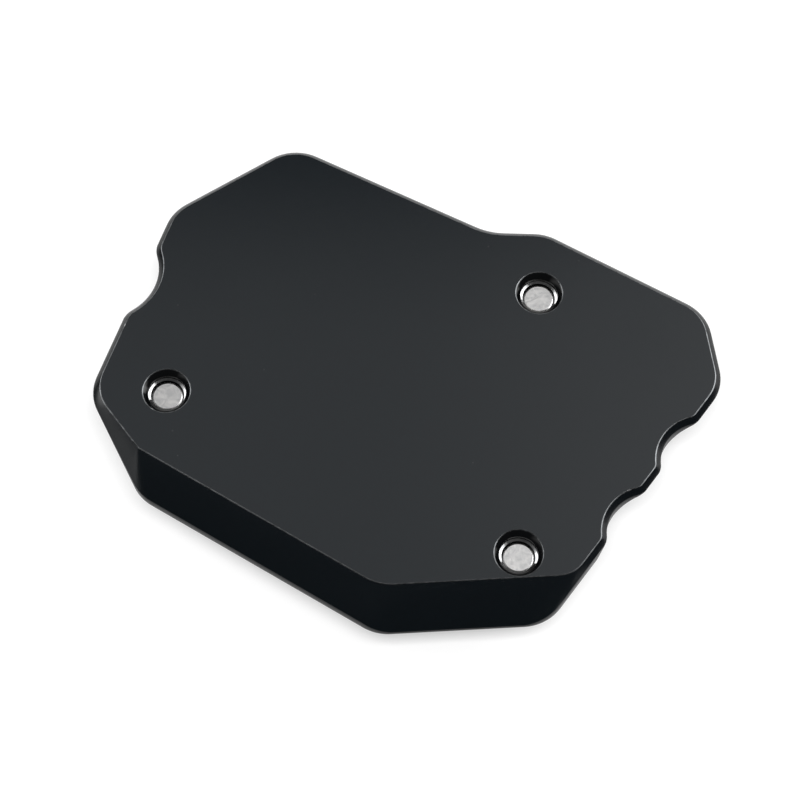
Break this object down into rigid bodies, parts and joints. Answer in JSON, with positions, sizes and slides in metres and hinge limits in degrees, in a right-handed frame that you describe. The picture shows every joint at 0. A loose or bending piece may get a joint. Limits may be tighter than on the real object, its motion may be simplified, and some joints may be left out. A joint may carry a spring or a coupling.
{
  "type": "kickstand foot enlarger",
  "caption": "Motorbike side-stand foot enlarger: bevelled black sole plate screwed from below to a slotted clamp plate, shown sole upwards.",
  "frame": {"origin": "middle of the bounding box's bottom, on the outer face of the clamp plate, on which the part lies", "axes": "+X along the longest extent, towards the sole plate's two scallops; +Y towards the open end of the leg slot; +Z out of the sole face"},
  "size_m": [0.101, 0.0852, 0.011],
  "materials": {
    "anodised_aluminium": "matte",
    "zinc_plated_steel": "satin"
  },
  "bodies": {
    "root": {"sole_plate": "anodised_aluminium", "clamp_plate": "anodised_aluminium", "left_screw": "zinc_plated_steel", "back_screw": "zinc_plated_steel", "front_screw": "zinc_plated_steel"}
  },
  "joints": []
}
